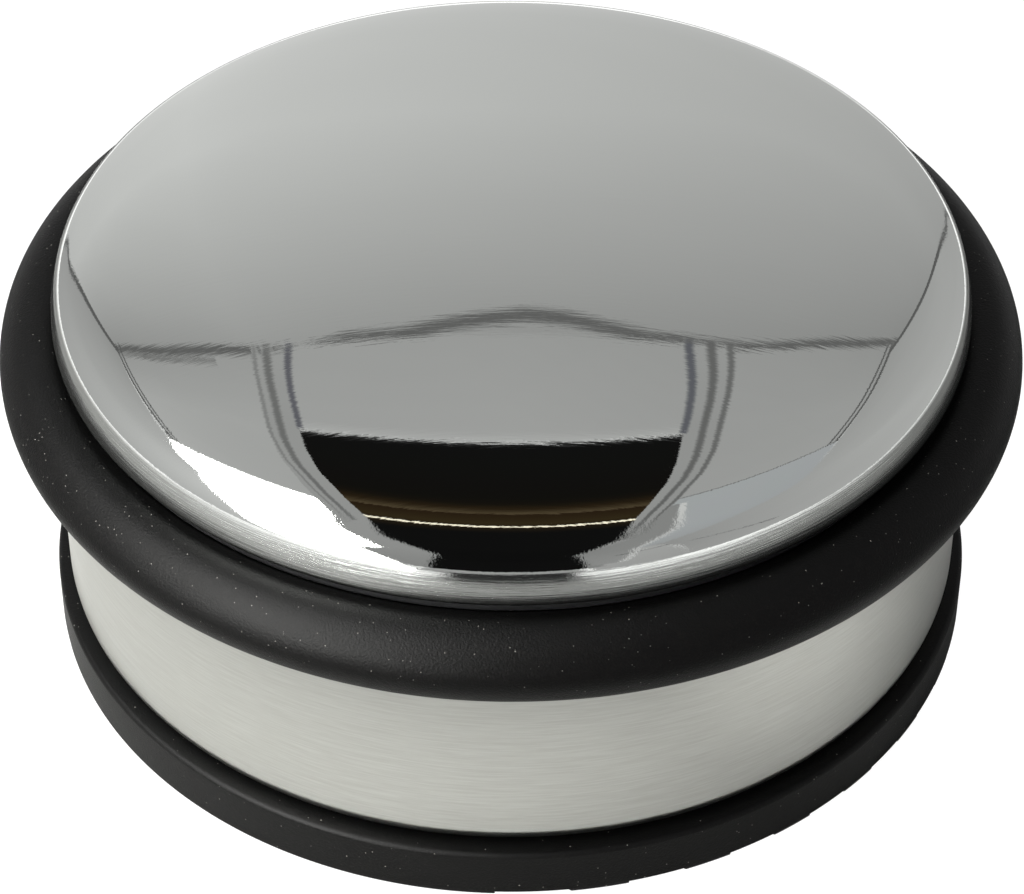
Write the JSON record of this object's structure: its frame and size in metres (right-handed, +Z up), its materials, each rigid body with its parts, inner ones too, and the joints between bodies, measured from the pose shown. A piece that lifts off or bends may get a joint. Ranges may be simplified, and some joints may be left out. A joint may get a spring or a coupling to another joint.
{
  "type": "floor door stop",
  "caption": "Round weighted floor door stop with a polished domed cap, a thick rubber bumper ring, a brushed drum and a treaded rubber foot.",
  "frame": {"origin": "centre of the underside, at the level of the floor", "axes": "+Z up along the axis of the drum and cap; X along the straight tread grooves of the foot"},
  "size_m": [0.1, 0.1, 0.0449],
  "materials": {
    "polished_steel": "mirror polished stainless steel",
    "brushed_steel": "fine circumferential brushing on stainless steel",
    "ring_rubber": "matte black moulded rubber",
    "foot_rubber": "matte black moulded rubber",
    "seat_plastic": "moulded black polypropylene",
    "ballast_iron": "as-cast grey iron",
    "zinc_plated_steel": "bright zinc plated steel"
  },
  "bodies": {
    "root": {"dome_cap": "polished_steel", "cap_plate": "zinc_plated_steel", "weld_nut": "zinc_plated_steel", "bumper_ring": "ring_rubber", "ring_seat": "seat_plastic", "drum_shell": "brushed_steel", "ballast_weight": "ballast_iron", "clamp_bolt": "zinc_plated_steel", "spring_washer": "zinc_plated_steel", "flat_washer": "zinc_plated_steel", "rubber_foot": "foot_rubber", "foot_screws": "zinc_plated_steel", "foot_washers": "zinc_plated_steel"}
  },
  "joints": []
}
